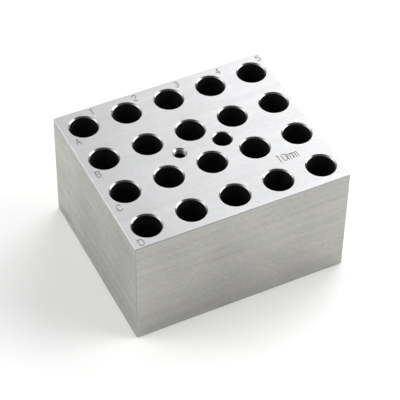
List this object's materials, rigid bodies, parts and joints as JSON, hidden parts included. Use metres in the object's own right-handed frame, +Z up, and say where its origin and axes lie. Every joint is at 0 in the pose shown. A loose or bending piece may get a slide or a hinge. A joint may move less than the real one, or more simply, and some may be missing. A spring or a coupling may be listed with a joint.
{
  "type": "dry block heater insert",
  "caption": "Solid rectangular aluminium heating block with a grid of countersunk tube wells, a thermometer well and a tapped lifting hole in its top face.",
  "frame": {"origin": "middle of the underside, the face that rests on the heater", "axes": "+X along the numbered columns from column 1 to column 5, +Y towards the numbered edge (from row D to row A), +Z up out of the wells"},
  "size_m": [0.086, 0.0734, 0.048],
  "materials": {
    "milled_aluminium": "bare milled aluminium with fine straight brushing, machined wells and countersinks"
  },
  "bodies": {
    "root": {"heating_block": "milled_aluminium"}
  },
  "joints": []
}
